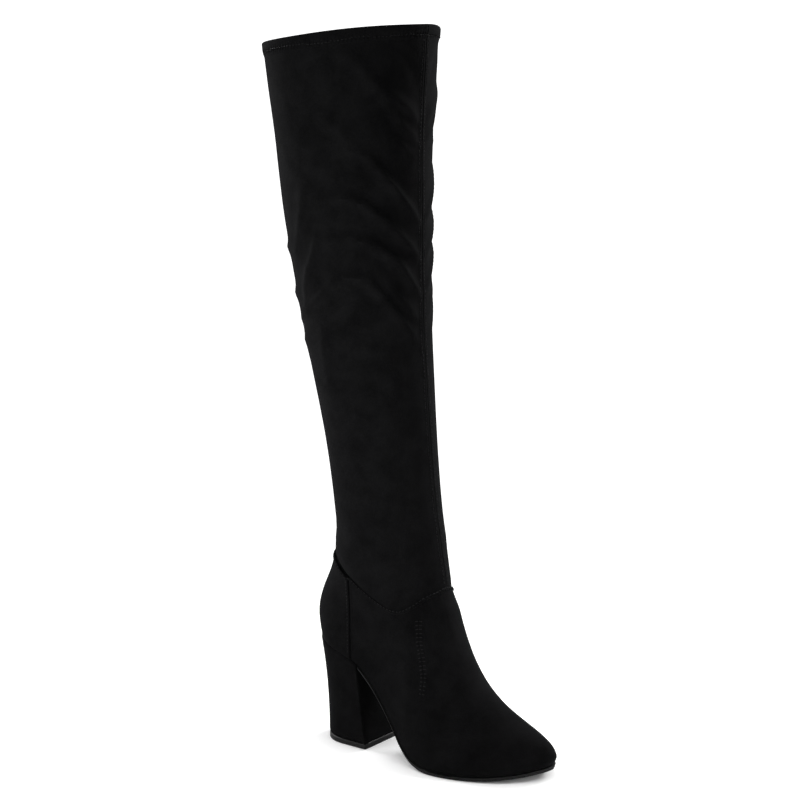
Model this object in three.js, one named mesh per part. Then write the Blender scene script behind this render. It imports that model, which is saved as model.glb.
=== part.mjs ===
// Over-the-knee boot for the right foot, in suede-look stretch fabric on a covered block heel.
// Units are millimetres. +Z is up, +X points to the toe and -Y to the outer side of the foot.
// The origin is in the middle of the heel's top piece, where it stands on the floor.
import * as THREE from "three";

// Driving dimensions
const footLength = 218; // plan length, from the back of the heel to the toe tip
const ballWidth = 77; // widest plan width of the upper's lower edge
const heelHeight = 89; // floor to the upper's lower edge at the back of the heel
const heelBackX = -36; // where the foot's length is measured from
const fitGap = 0.3; // clearance between curved pieces that touch

const upperWall = 1.8;
const shaftWall = 1.5;
const counterWall = 1.2;
const bandWall = 1.0;
const bandHeight = 8.5;
const soleThickness = 3; // at the ball
const waistThickness = 2.5;
const insoleThickness = 2.5;
const topPieceThickness = 4.5;

// A smooth function of one column of a table, given at the values of another column.
function column(rows, at, name) {
  const last = rows.length - 1;
  const slope = (i) => {
    const a = rows[Math.max(i - 1, 0)];
    const b = rows[Math.min(i + 1, last)];
    return (b[name] - a[name]) / (b[at] - a[at]);
  };
  return (t) => {
    let i = 0;
    while (i < last - 1 && t > rows[i + 1][at]) i++;
    const a = rows[i];
    const b = rows[i + 1];
    const span = b[at] - a[at];
    const s = THREE.MathUtils.clamp((t - a[at]) / span, 0, 1);
    const s2 = s * s;
    const s3 = s2 * s;
    return (
      a[name] * (2 * s3 - 3 * s2 + 1) +
      slope(i) * span * (s3 - 2 * s2 + s) +
      b[name] * (3 * s2 - 2 * s3) +
      slope(i + 1) * span * (s3 - s2)
    );
  };
}

const { lerp, smoothstep } = THREE.MathUtils;

// The last seen from above: half width and centre line at shares of the length and the ball width.
const plan = [
  { along: 0.0, half: 0.37, centre: 0.0 },
  { along: 0.14, half: 0.38, centre: 0.0 },
  { along: 0.3, half: 0.345, centre: -0.02 },
  { along: 0.4, half: 0.35, centre: -0.06 },
  { along: 0.52, half: 0.44, centre: -0.09 },
  { along: 0.62, half: 0.5, centre: -0.085 },
  { along: 0.72, half: 0.5, centre: -0.05 },
  { along: 0.82, half: 0.45, centre: 0.0 },
  { along: 0.91, half: 0.38, centre: 0.04 },
  { along: 1.0, half: 0.3, centre: 0.07 },
];
// The last's lower edge seen from the side, at shares of the length and the heel's height.
const arch = [
  { along: 0.0, rise: 1.0 },
  { along: 0.12, rise: 0.915 },
  { along: 0.24, rise: 0.785 },
  { along: 0.33, rise: 0.56 },
  { along: 0.4, rise: 0.36 },
  { along: 0.465, rise: 0.17 },
  { along: 0.52, rise: 0.08 },
  { along: 0.58, rise: 0.04 },
  { along: 0.75, rise: 0.037 },
  { along: 0.88, rise: 0.065 },
  { along: 1.0, rise: 0.12 },
];
const share = (x) => (x - heelBackX) / footLength;
const planHalf = column(plan, "along", "half");
const planCentre = column(plan, "along", "centre");
const archRise = column(arch, "along", "rise");
const bodyHalf = (x) => planHalf(share(x)) * ballWidth;
const centreLine = (x) => planCentre(share(x)) * ballWidth;
const featherZ = (x) => archRise(share(x)) * heelHeight;

// Rows climb the boot from its lower edge to the collar. front and back are points of the profile
// seen from the side and half is the leg's half width. In the foot, flat turns a row from the
// sole's curve into a plane, and leg turns the foot's section into the leg's oval.
const footRows = [
  { frontX: 179, frontZ: 10.4, backX: -31, backZ: 88, half: 30, flat: 0, leg: 0 },
  { frontX: 182, frontZ: 15, backX: -33, backZ: 95, half: 31, flat: 0, leg: 0 },
  { frontX: 181, frontZ: 20.5, backX: -34, backZ: 101, half: 31, flat: 0, leg: 0 },
  { frontX: 174, frontZ: 27.5, backX: -34.5, backZ: 107, half: 31, flat: 0.03, leg: 0 },
  { frontX: 158, frontZ: 36, backX: -34, backZ: 114, half: 32, flat: 0.1, leg: 0.05 },
  { frontX: 140, frontZ: 46, backX: -32, backZ: 121, half: 33, flat: 0.2, leg: 0.13 },
  { frontX: 124, frontZ: 59, backX: -29, backZ: 129, half: 34, flat: 0.35, leg: 0.25 },
  { frontX: 110, frontZ: 77, backX: -25, backZ: 137, half: 35, flat: 0.5, leg: 0.4 },
  { frontX: 98.5, frontZ: 100, backX: -21, backZ: 146, half: 36, flat: 0.7, leg: 0.6 },
  { frontX: 89, frontZ: 127, backX: -18, backZ: 156, half: 37, flat: 0.87, leg: 0.8 },
  { frontX: 80, frontZ: 158, backX: -16, backZ: 169, half: 37, flat: 1, leg: 0.95 },
];
const legRows = [
  { frontX: 72, frontZ: 196, backX: -17, backZ: 196, half: 37 },
  { frontX: 66.5, frontZ: 246, backX: -24, backZ: 246, half: 39 },
  { frontX: 62.5, frontZ: 294, backX: -34, backZ: 294, half: 43 },
  { frontX: 59, frontZ: 341, backX: -45, backZ: 341, half: 47 },
  { frontX: 57.5, frontZ: 390, backX: -54, backZ: 388, half: 51 },
  { frontX: 57, frontZ: 439, backX: -61, backZ: 434, half: 54 },
  { frontX: 56.5, frontZ: 487, backX: -66, backZ: 478, half: 57.5 },
  { frontX: 59, frontZ: 536, backX: -73, backZ: 523, half: 62 },
  { frontX: 61, frontZ: 573, backX: -77, backZ: 557, half: 65 },
];
const levels = [...footRows, ...legRows].map((row, at) => ({ flat: 1, leg: 1, ...row, at }));
const topLevel = levels.length - 1;
const level = Object.fromEntries(
  Object.keys(levels[0]).map((name) => [name, column(levels, "at", name)]),
);

const heelRoundness = 30; // plan radius of the heel's back
const toeStart = heelBackX + 0.8 * footLength; // where the toe starts to round off
const toePower = 2.3; // 2 is an ellipse, and more is a blunter toe
const foremostLevel = 1.3; // the row that reaches furthest forward
const toeMargin = 0.3; // the toe's plan closes this far beyond each row's front
const sectionPower = 2.1; // 2 is an ellipse, and more is fuller at the shoulders
const ovalPower = 2.2; // the leg's plan section, as above
const shinLevel = 16; // above it the front line leans forward again
const endTaper = 0.04; // the sides meet within this share of a turn at the front and the back

// The front line of the boot, from the toe up to the shin.
const ridge = [];
const ridgeStep = 0.05;
for (let at = 1; at <= shinLevel; at += ridgeStep) {
  ridge.push({ x: level.frontX(at), z: level.frontZ(at) });
}
function ridgeZ(x) {
  const i = ridge.findIndex((p) => p.x <= x);
  if (i <= 0) return Infinity;
  const a = ridge[i - 1];
  const b = ridge[i];
  return lerp(a.z, b.z, (x - a.x) / (b.x - a.x));
}

// How round a half width is at s, from 0 in the middle to 1 at the end.
const round = (s, power) => Math.pow(Math.max(0, 1 - Math.pow(Math.max(0, s), power)), 0.5);

// Where the toe's plan ends at a level.
const toeTip = (at) => level.frontX(Math.min(at, foremostLevel)) + toeMargin;

// A point of the boot's outer form. turn goes once round from the front, by the inner side first.
function formPoint(turn, at) {
  const frontX = level.frontX(at);
  const backX = level.backX(at);
  const middle = (frontX + backX) / 2;
  const reach = (frontX - backX) / 2;
  const x = middle + reach * Math.cos(turn);
  const t = (x - backX) / (2 * reach);
  const leg = level.leg(at);
  const flat = level.flat(at);

  const riseBack = level.backZ(at) - featherZ(backX);
  const riseFront = level.frontZ(at) - featherZ(frontX);
  const alongSole = featherZ(x) + lerp(riseBack, riseFront, t);
  const plane = lerp(level.backZ(at), level.frontZ(at), t);
  const z = lerp(alongSole, plane, flat);

  const toe = round((x - toeStart) / (toeTip(at) - toeStart), toePower);
  const height = THREE.MathUtils.clamp((z - featherZ(x)) / (ridgeZ(x) - featherZ(x)), 0, 1);
  const heel = round((backX + heelRoundness - x) / heelRoundness, 2);
  const foot = bodyHalf(x) * toe * round(height, sectionPower) * heel;
  const oval = level.half(at) * round(Math.abs(x - middle) / reach, ovalPower);
  const half = lerp(foot, oval, leg) * Math.min(1, Math.abs(Math.sin(turn)) / endTaper);
  const centre = lerp(centreLine(x), 0, leg);
  const side = Math.sin(turn) >= 0 ? 1 : -1;
  return new THREE.Vector3(x, centre + side * half, z);
}

// The same form moved along its own normal, outwards for a positive distance.
function formAt(turn, at, distance) {
  const step = 0.01;
  const here = formPoint(turn, at);
  if (distance === 0) return here;
  const along = formPoint(turn + step, at).sub(formPoint(turn - step, at));
  const low = Math.max(at - step, 0);
  const high = Math.min(at + step, topLevel);
  const up = formPoint(turn, high).sub(formPoint(turn, low));
  const normal = along.cross(up).normalize();
  return here.addScaledVector(normal, distance);
}

// A closed solid from a set of quads and triangles, each a list of corner points in order.
function solid(faces) {
  const keys = new Map();
  const points = [];
  const index = [];
  const vertex = (p) => {
    const key = [p.x, p.y, p.z].map((v) => Math.round(v * 1000)).join();
    if (!keys.has(key)) {
      keys.set(key, points.length);
      points.push(p);
    }
    return keys.get(key);
  };
  const triangle = (a, b, c) => {
    if (a !== b && b !== c && c !== a) index.push(a, b, c);
  };
  for (const corners of faces) {
    const v = corners.map(vertex);
    for (let i = 2; i < v.length; i++) triangle(v[0], v[i - 1], v[i]);
  }
  const geometry = new THREE.BufferGeometry().setFromPoints(points);
  geometry.setIndex(index);
  return geometry;
}

// The quads between two rows of points, seen from the side where row b lies above row a.
function strip(a, b, closed) {
  const count = closed ? a.length : a.length - 1;
  const quads = [];
  for (let i = 0; i < count; i++) {
    const j = (i + 1) % a.length;
    quads.push([a[i], a[j], b[j], b[i]]);
  }
  return quads;
}

// A wall between an outer and an inner grid of rows, closed along every free edge.
function wall(outer, inner, closed) {
  const faces = [];
  const last = outer.length - 1;
  for (let i = 0; i < last; i++) {
    faces.push(...strip(outer[i], outer[i + 1], closed));
    faces.push(...strip(inner[i + 1], inner[i], closed));
  }
  faces.push(...strip(inner[0], outer[0], closed));
  faces.push(...strip(outer[last], inner[last], closed));
  if (!closed) {
    const end = outer[0].length - 1;
    for (let i = 0; i < last; i++) {
      faces.push([inner[i][0], outer[i][0], outer[i + 1][0], inner[i + 1][0]]);
      faces.push([outer[i][end], inner[i][end], inner[i + 1][end], outer[i + 1][end]]);
    }
  }
  return solid(faces);
}

// Turns of the columns, drawn together at the sides where the arch bends most along the boot.
const around = 56;
const gather = 0.12;
const turns = Array.from({ length: around }, (_, i) => {
  const even = (i / around) * 2 * Math.PI;
  return even + gather * Math.sin(2 * even);
});

// The upper's top edge, as a level at degrees round from the front, the same on both sides.
const topEdge = [
  { degrees: 0, at: 9.38 },
  { degrees: 30, at: 9.18 },
  { degrees: 50, at: 8.8 },
  { degrees: 65, at: 8.45 },
  { degrees: 80, at: 8.22 },
  { degrees: 105, at: 8.13 },
  { degrees: 120, at: 8.4 },
  { degrees: 140, at: 8.9 },
  { degrees: 160, at: 9.1 },
  { degrees: 180, at: 9.15 },
];
const topEdgeLevel = column(topEdge, "degrees", "at");
function seamLevel(turn) {
  const half = Math.acos(Math.cos(turn));
  return topEdgeLevel(THREE.MathUtils.radToDeg(half));
}

function upperGeometry() {
  const rows = 18;
  const grid = (distance) =>
    Array.from({ length: rows + 1 }, (_, i) =>
      turns.map((turn) => formAt(turn, (i / rows) * seamLevel(turn), distance)),
    );
  return wall(grid(0), grid(-upperWall), true);
}

// The shaft starts inside the upper and swells back to the outer form above the seam.
const shaftLap = 0.32; // levels below the upper's top edge, about 9 mm
const shaftFree = 0.1; // levels above it where the shaft starts to swell
const shaftFull = 2; // levels above it where the shaft has the outer form
function shaftGeometry() {
  const rows = 21;
  const inset = upperWall + fitGap;
  const grid = (distance) =>
    Array.from({ length: rows + 1 }, (_, i) =>
      turns.map((turn) => {
        const seam = seamLevel(turn);
        const at = lerp(seam - shaftLap, topLevel, i / rows);
        const tuck = inset * (1 - smoothstep(at, seam + shaftFree, seam + shaftFull));
        return formAt(turn, at, distance - tuck);
      }),
    );
  return wall(grid(0), grid(-shaftWall), true);
}

function bandGeometry() {
  const rows = 2;
  const height = bandHeight / (level.frontZ(topLevel) - level.frontZ(topLevel - 1));
  const grid = (distance) =>
    Array.from({ length: rows + 1 }, (_, i) =>
      turns.map((turn) => formAt(turn, topLevel - height * (1 - i / rows), distance)),
    );
  return wall(grid(fitGap + bandWall), grid(fitGap), true);
}

// The counter wraps the heel's back as far forward as an upright edge on each side.
const counterFrontX = 10.5;
const counterBelowSeam = 0.05; // in levels
const counterBottomLevel = 0.1;
const counterTopLevel = 8;
function counterEdge(at) {
  const middle = (level.frontX(at) + level.backX(at)) / 2;
  const reach = (level.frontX(at) - level.backX(at)) / 2;
  return Math.PI - Math.acos((counterFrontX - middle) / reach);
}
function counterGeometry() {
  const rows = 12;
  const columns = 22;
  const top = seamLevel(Math.PI - counterEdge(counterTopLevel)) - counterBelowSeam;
  const grid = (distance) =>
    Array.from({ length: rows + 1 }, (_, i) =>
      Array.from({ length: columns + 1 }, (_, j) => {
        const up = i / rows;
        const turn = Math.PI + counterEdge(up * top) * ((2 * j) / columns - 1);
        const at = lerp(counterBottomLevel, seamLevel(turn) - counterBelowSeam, up);
        return formAt(turn, at, distance);
      }),
    );
  return wall(grid(fitGap + counterWall), grid(fitGap), false);
}

// A flat piece that follows the sole, from pairs of points at stations along it.
function slab(levelsOfPairs) {
  const faces = [];
  const last = levelsOfPairs.length - 1;
  const loop = (pairs) => [...pairs.map((p) => p[0]), ...pairs.map((p) => p[1]).reverse()];
  for (let i = 0; i < last; i++) {
    faces.push(...strip(loop(levelsOfPairs[i]), loop(levelsOfPairs[i + 1]), true));
  }
  const top = levelsOfPairs[last];
  const bottom = levelsOfPairs[0];
  for (let i = 0; i + 1 < top.length; i++) {
    faces.push([top[i][0], top[i + 1][0], top[i + 1][1], top[i][1]]);
    faces.push([bottom[i][0], bottom[i][1], bottom[i + 1][1], bottom[i + 1][0]]);
  }
  return solid(faces);
}

// Stations from a back to a tip at the upper's own columns, so that both follow the arch alike.
function columnStations(backX, tipX) {
  const half = turns.slice(0, around / 2 + 1).reverse();
  return half.map((turn) => lerp(backX, tipX, (1 + Math.cos(turn)) / 2));
}

// Half width of the upper's lower edge, grown by an amount all round.
function edgeHalf(x, grow) {
  const backX = level.backX(0) - grow;
  const tip = toeTip(0) + grow;
  const radius = heelRoundness + grow;
  const heel = round((backX + radius - x) / radius, 2);
  const toe = round((x - toeStart) / (tip - toeStart), toePower);
  return (bodyHalf(x) + grow) * heel * toe;
}

const pair = (x, half, z) => [
  new THREE.Vector3(x, centreLine(x) - half, z),
  new THREE.Vector3(x, centreLine(x) + half, z),
];

const breastX = 16; // front of the heel at the seat
const soleLip = 1.2; // how far the outsole's top stands out beyond the upper
const treadInset = 0.8; // how far the tread is drawn in from the outsole's top
const waistEndX = 60; // the sole thickens from here
const ballStartX = 90; // to here
function outsoleGeometry() {
  const all = columnStations(level.backX(0) - soleLip, level.frontX(0) + soleLip);
  const xs = [breastX + fitGap, ...all.filter((x) => x > breastX + 2)];
  const topZ = (x) => featherZ(x) - fitGap;
  const treadZ = (x) => {
    const thickness = lerp(waistThickness, soleThickness, smoothstep(x, waistEndX, ballStartX));
    return Math.max(0, topZ(x) - thickness);
  };
  const bottom = xs.map((x) => pair(x, edgeHalf(x, soleLip - treadInset), treadZ(x)));
  const top = xs.map((x) => pair(x, edgeHalf(x, soleLip), topZ(x)));
  return slab([bottom, top]);
}

function insoleGeometry() {
  const inset = upperWall + 2 * fitGap;
  const xs = columnStations(level.backX(0) + inset, level.frontX(0) - inset);
  const at = (lift) => xs.map((x) => pair(x, edgeHalf(x, -inset), featherZ(x) + lift));
  return slab([at(fitGap), at(fitGap + insoleThickness)]);
}

// The heel block, from its foot to the seat: back, breast and half width at shares of its height.
const heelShape = [
  { up: 0, backX: -25.5, breastX: 25, half: 27.5 },
  { up: 0.35, backX: -26.5, breastX: 21, half: 27 },
  { up: 0.7, backX: -29.5, breastX: 17.5, half: 27 },
  { up: 1, backX: -33, breastX: 16, half: 29 },
];
const heelColumn = Object.fromEntries(
  ["backX", "breastX", "half"].map((name) => [name, column(heelShape, "up", name)]),
);
const heelBackRadius = 27;
const heelPower = 2.2;
const heelStations = 14;
function heelPairs(up, z) {
  const backX = heelColumn.backX(up);
  const frontX = heelColumn.breastX(up);
  return Array.from({ length: heelStations + 1 }, (_, i) => {
    const x = lerp(backX, frontX, 1 - Math.cos((i / heelStations) * (Math.PI / 2)));
    const half = heelColumn.half(up) * round((backX + heelBackRadius - x) / heelBackRadius, heelPower);
    return pair(x, half, z(x, up));
  });
}
function heelGeometry() {
  const seatZ = (x) => featherZ(x) - fitGap;
  const z = (x, up) => lerp(topPieceThickness, seatZ(x), up);
  return slab([0, 0.25, 0.5, 0.75, 1].map((up) => heelPairs(up, z)));
}
function topPieceGeometry() {
  return slab([0, topPieceThickness].map((height) => heelPairs(0, () => height)));
}

// One named piece with its own material.
function piece(name, geometry, color, roughness) {
  const material = new THREE.MeshStandardMaterial({ color, roughness, metalness: 0 });
  const mesh = new THREE.Mesh(geometry, material);
  mesh.name = name;
  return mesh;
}

const suede = 0x141414;
const boot = new THREE.Group();
boot.add(
  piece("outsole", outsoleGeometry(), 0x191919, 0.45),
  piece("heel_block", heelGeometry(), suede, 0.95),
  piece("heel_top_piece", topPieceGeometry(), 0x202020, 0.35),
  piece("insole", insoleGeometry(), 0x1c1a19, 0.8),
  piece("upper", upperGeometry(), suede, 0.95),
  piece("counter", counterGeometry(), suede, 0.95),
  piece("shaft", shaftGeometry(), suede, 0.95),
  piece("collar_band", bandGeometry(), suede, 0.95),
);

export default boot;
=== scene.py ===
import bpy
import numpy as np
from math import cos, pi, radians, sin
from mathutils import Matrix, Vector
from mathutils.bvhtree import BVHTree


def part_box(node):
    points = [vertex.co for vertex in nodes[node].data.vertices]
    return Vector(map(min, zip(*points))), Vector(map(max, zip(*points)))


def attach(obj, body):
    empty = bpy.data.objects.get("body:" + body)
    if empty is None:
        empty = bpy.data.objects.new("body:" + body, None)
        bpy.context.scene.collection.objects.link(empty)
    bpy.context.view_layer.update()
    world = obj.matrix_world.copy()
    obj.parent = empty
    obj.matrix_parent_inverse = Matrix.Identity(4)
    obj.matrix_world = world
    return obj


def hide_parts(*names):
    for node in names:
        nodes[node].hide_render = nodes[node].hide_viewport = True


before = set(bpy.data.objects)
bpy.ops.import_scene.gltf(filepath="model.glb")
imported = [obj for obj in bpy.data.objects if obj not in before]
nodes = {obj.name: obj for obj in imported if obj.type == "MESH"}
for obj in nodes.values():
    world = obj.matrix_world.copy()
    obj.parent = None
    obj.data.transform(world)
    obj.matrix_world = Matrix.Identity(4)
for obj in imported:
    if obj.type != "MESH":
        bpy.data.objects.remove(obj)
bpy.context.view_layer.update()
mm = 0.001
smoothDegrees = 50  # faces that meet at less are shaded smooth

rays = {
    "fromMiddle": 0.2,  # metres, well clear of the boot
    "fromFront": 0.3,
    "halvings": 24,  # of a search for an edge
}

# Heights in metres where a search for an edge starts: one in the wall, one past its edge
edgeSearch = {"collar": (0.5, 0.6), "shaftBottom": (0.2, 0.1), "footTop": (0.1, 0.2)}

cadCopy = {"mergedWithin": 0.01 * mm, "flatDegrees": 50, "cornerDegrees": 60}


# Small tools that every piece uses

def selectOnly(piece):
    bpy.ops.object.select_all(action="DESELECT")
    piece.select_set(True)
    bpy.context.view_layer.objects.active = piece


def applyModifiers(piece):
    selectOnly(piece)
    for name in [modifier.name for modifier in piece.modifiers]:
        bpy.ops.object.modifier_apply(modifier=name)


def readPoints(piece):
    flat = np.empty(len(piece.data.vertices) * 3)
    piece.data.vertices.foreach_get("co", flat)
    return flat.reshape(-1, 3)


def writePoints(piece, points):
    piece.data.vertices.foreach_set("co", points.ravel())
    piece.data.update()


def treeOf(piece):
    return BVHTree.FromObject(piece, bpy.context.evaluated_depsgraph_get())


def copyOfNode(nodeName, pieceName):
    piece = bpy.data.objects.new(pieceName, nodes[nodeName].data.copy())
    bpy.context.scene.collection.objects.link(piece)
    piece.data.materials.clear()
    selectOnly(piece)
    bpy.ops.object.mode_set(mode="EDIT")
    bpy.ops.mesh.select_all(action="SELECT")
    bpy.ops.mesh.remove_doubles(threshold=cadCopy["mergedWithin"])
    bpy.ops.mesh.tris_convert_to_quads(
        face_threshold=radians(cadCopy["flatDegrees"]), shape_threshold=radians(cadCopy["cornerDegrees"])
    )
    bpy.ops.object.mode_set(mode="OBJECT")
    return piece


def creaseSharpEdges(piece, sharpness, crease):
    selectOnly(piece)
    bpy.ops.object.mode_set(mode="EDIT")
    bpy.ops.mesh.select_mode(type="EDGE")
    bpy.ops.mesh.select_all(action="DESELECT")
    bpy.ops.mesh.edges_select_sharp(sharpness=radians(sharpness))
    bpy.ops.transform.edge_crease(value=crease)
    bpy.ops.mesh.select_all(action="DESELECT")
    bpy.ops.mesh.select_mode(type="VERT")
    bpy.ops.object.mode_set(mode="OBJECT")


def subdivided(piece, levels):
    modifier = piece.modifiers.new("finer", "SUBSURF")
    modifier.levels = levels
    modifier.render_levels = levels
    applyModifiers(piece)


def finishPiece(piece, material, slotName, *nodeNames):
    piece.data.materials.clear()
    piece.data.materials.append(material)
    selectOnly(piece)
    bpy.ops.object.shade_smooth_by_angle(angle=radians(smoothDegrees))
    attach(piece, "root")
    if nodeNames:
        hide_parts(*nodeNames)


# Camera: the photograph's place, fitted to the boot's outline

cameraView = {
    "azimuth": 37,  # degrees round from the outer side towards the toe
    "distance": 1.467,  # from the heel, along the floor
    "height": 0.517,
    "target": (0.0252, 0.019, 0.2794),
    "lens": 83.43,
    "sensor": 36,
}


def makeCamera():
    turn = radians(cameraView["azimuth"])
    place = Vector((sin(turn), -cos(turn), 0)) * cameraView["distance"]
    place.z = cameraView["height"]
    bpy.ops.object.camera_add(location=place)
    camera = bpy.context.object
    camera.name = "photoCamera"
    ahead = Vector(cameraView["target"]) - place
    camera.rotation_euler = ahead.to_track_quat("-Z", "Y").to_euler()
    camera.data.lens = cameraView["lens"]
    camera.data.sensor_width = cameraView["sensor"]
    bpy.context.scene.camera = camera


makeCamera()
print("camera in place")


# Shader groups and materials

def addNode(tree, kind, place, **values):
    node = tree.nodes.new(kind)
    node.location = place
    for name, value in values.items():
        if name in node.inputs:
            node.inputs[name].default_value = value
        else:
            setattr(node, name, value)
    return node


def makeGroup(name, inputs, outputs):
    group = bpy.data.node_groups.new(name, "ShaderNodeTree")
    for label, kind, value in inputs:
        group.interface.new_socket(name=label, in_out="INPUT", socket_type=kind).default_value = value
    for label, kind in outputs:
        group.interface.new_socket(name=label, in_out="OUTPUT", socket_type=kind)
    start = addNode(group, "NodeGroupInput", (-900, 0))
    end = addNode(group, "NodeGroupOutput", (600, 0))
    return group, start, end


def makeNapGroup():
    group, start, end = makeGroup(
        "suedeNap",
        [
            ("Dark", "NodeSocketColor", (0.0012, 0.0012, 0.0013, 1)),
            ("Light", "NodeSocketColor", (0.0062, 0.0062, 0.0065, 1)),
            ("Patch Scale", "NodeSocketFloat", 55),
            ("Grain Scale", "NodeSocketFloat", 1100),
        ],
        [("Colour", "NodeSocketColor"), ("Height", "NodeSocketFloat")],
    )
    link = group.links.new
    place = addNode(group, "ShaderNodeTexCoord", (-900, 300))
    patch = addNode(group, "ShaderNodeTexNoise", (-600, 300), Detail=5, Roughness=0.65, Distortion=0.3)
    grain = addNode(group, "ShaderNodeTexNoise", (-600, 0), Detail=3, Roughness=0.7)
    fibre = addNode(group, "ShaderNodeTexNoise", (-600, -300), Scale=420, Detail=2)
    link(place.outputs["Object"], patch.inputs["Vector"])
    link(place.outputs["Object"], grain.inputs["Vector"])
    link(place.outputs["Object"], fibre.inputs["Vector"])
    link(start.outputs["Patch Scale"], patch.inputs["Scale"])
    link(start.outputs["Grain Scale"], grain.inputs["Scale"])
    patchShare = addNode(group, "ShaderNodeMapRange", (-300, 300))
    patchShare.inputs["From Min"].default_value = 0.34
    patchShare.inputs["From Max"].default_value = 0.68
    grainShare = addNode(group, "ShaderNodeMapRange", (-300, 0))
    grainShare.inputs["From Min"].default_value = 0.3
    grainShare.inputs["From Max"].default_value = 0.75
    link(patch.outputs["Fac"], patchShare.inputs["Value"])
    link(grain.outputs["Fac"], grainShare.inputs["Value"])
    mottle = addNode(group, "ShaderNodeMix", (0, 200), data_type="FLOAT")
    mottle.inputs["Factor"].default_value = 0.52  # the grain's share
    link(patchShare.outputs["Result"], mottle.inputs["A"])
    link(grainShare.outputs["Result"], mottle.inputs["B"])
    colour = addNode(group, "ShaderNodeMix", (300, 200), data_type="RGBA")
    link(mottle.outputs["Result"], colour.inputs["Factor"])
    link(start.outputs["Dark"], colour.inputs[6])  # 6 and 7 are its two colours
    link(start.outputs["Light"], colour.inputs[7])
    link(colour.outputs[2], end.inputs["Colour"])
    height = addNode(group, "ShaderNodeMath", (0, -200), operation="MULTIPLY_ADD")
    height.inputs[1].default_value = 0.6  # the fibres' share of the relief
    link(fibre.outputs["Fac"], height.inputs[0])
    link(grain.outputs["Fac"], height.inputs[2])
    link(height.outputs["Value"], end.inputs["Height"])
    return group


napGroup = makeNapGroup()


# The bump's depth is in metres
def makeMaterial(name, group, groupValues, shaderValues, bumpStrength, bumpDepth):
    material = bpy.data.materials.new(name)
    material.use_nodes = True
    tree = material.node_tree
    shader = tree.nodes["Principled BSDF"]
    for label, value in shaderValues.items():
        shader.inputs[label].default_value = value
    pattern = addNode(tree, "ShaderNodeGroup", (-600, 0), node_tree=group)
    for label, value in groupValues.items():
        pattern.inputs[label].default_value = value
    bump = addNode(tree, "ShaderNodeBump", (-300, -200), Strength=bumpStrength, Distance=bumpDepth)
    tree.links.new(pattern.outputs["Colour"], shader.inputs["Base Color"])
    tree.links.new(pattern.outputs["Height"], bump.inputs["Height"])
    tree.links.new(bump.outputs["Normal"], shader.inputs["Normal"])
    return material


suede = makeMaterial(
    "blackSuede", napGroup, {},
    {
        "Roughness": 0.95, "Specular IOR Level": 0.03, "Sheen Weight": 0.012,
        "Sheen Roughness": 0.5, "Sheen Tint": (0.9, 0.92, 1, 1),
    },
    0.5, 0.25 * mm,
)
lining = makeMaterial(
    "liningKnit", napGroup,
    {"Dark": (0.012, 0.011, 0.011, 1), "Light": (0.03, 0.028, 0.027, 1), "Grain Scale": 1600},
    {"Roughness": 0.85, "Specular IOR Level": 0.2, "Sheen Weight": 0.15},
    0.4, 0.15 * mm,
)
thread = makeMaterial(
    "blackThread", napGroup,
    {"Dark": (0.0030, 0.0030, 0.0032, 1), "Light": (0.0072, 0.0072, 0.0076, 1), "Grain Scale": 3000},
    {"Roughness": 0.7, "Specular IOR Level": 0.12, "Sheen Weight": 0.015},
    0.3, 0.05 * mm,
)
soleRubber = makeMaterial(
    "soleRubber", napGroup,
    {"Dark": (0.0060, 0.0060, 0.0061, 1), "Light": (0.0120, 0.0120, 0.0122, 1), "Grain Scale": 700},
    {"Roughness": 0.55, "Specular IOR Level": 0.14},
    0.2, 0.08 * mm,
)
glossPlastic = makeMaterial(
    "glossPlastic", napGroup,
    {"Dark": (0.0045, 0.0045, 0.0046, 1), "Light": (0.0085, 0.0085, 0.0086, 1), "Grain Scale": 500},
    {"Roughness": 0.42, "Specular IOR Level": 0.2},
    0.08, 0.05 * mm,
)
print("materials made")


# Shaft: a tube laid on the CAD shaft, then folded by listed ridges and troughs.
# Degrees run round the shaft from the front towards the outer side

shaft = {
    "castColumns": 240,
    "castRows": 270,
    "harmonics": 9,  # of each row's outline, so that the CAD's facets don't show
    "rimHarmonics": 14,  # of the foot's top edge and the shaft's bottom edge
    "middleSamples": 60,
    "middleTo": 20 * mm,  # below the top
    "rimProbe": 0.8 * mm,  # below the foot's top edge
    "rowBlur": 7,  # rows
    "coarseRows": 120,  # below the folds every third row is enough
    "coarseStep": 3,
    "plainColumns": 196,
    "seamColumns": 44,  # finer columns where the front seam's grooves lie
    "seamHalf": 8,  # degrees either side of the seam
    "wall": 1.4 * mm,
    "tubeFrom": 175 * mm,  # the height where the tube is whole all round
    "leastReach": 22 * mm,  # a ray that goes further in has passed under the bottom edge
    "topLifts": [(152, 38, 1.8), (-14, 20, 1.2)],  # degrees round, half width in degrees, mm
    "edgeDrop": 1.2 * mm,  # the shaft's edge ends inside the hem
    "foldsFrom": (10 * mm, 60 * mm),  # above the foot's top seam
    "foldsTo": (0.5 * mm, 9 * mm),  # below the top edge
    "fuller": 0.6 * mm,  # than the CAD shaft
    "innerFolds": 0.5,  # of the outer side's
    "hugFront": 4.2 * mm,  # how far the shaft lies inside the foot's rim
    "hugBack": 0.7 * mm,
    "hugFade": (4 * mm, 34 * mm),  # above the rim
    "tuck": (-1.6 * mm, 0),
    "puff": 0.6 * mm,  # the fabric swells just over the rim
    "puffRise": (0, 3.5 * mm),
    "puffFade": (8 * mm, 30 * mm),
}

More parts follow.
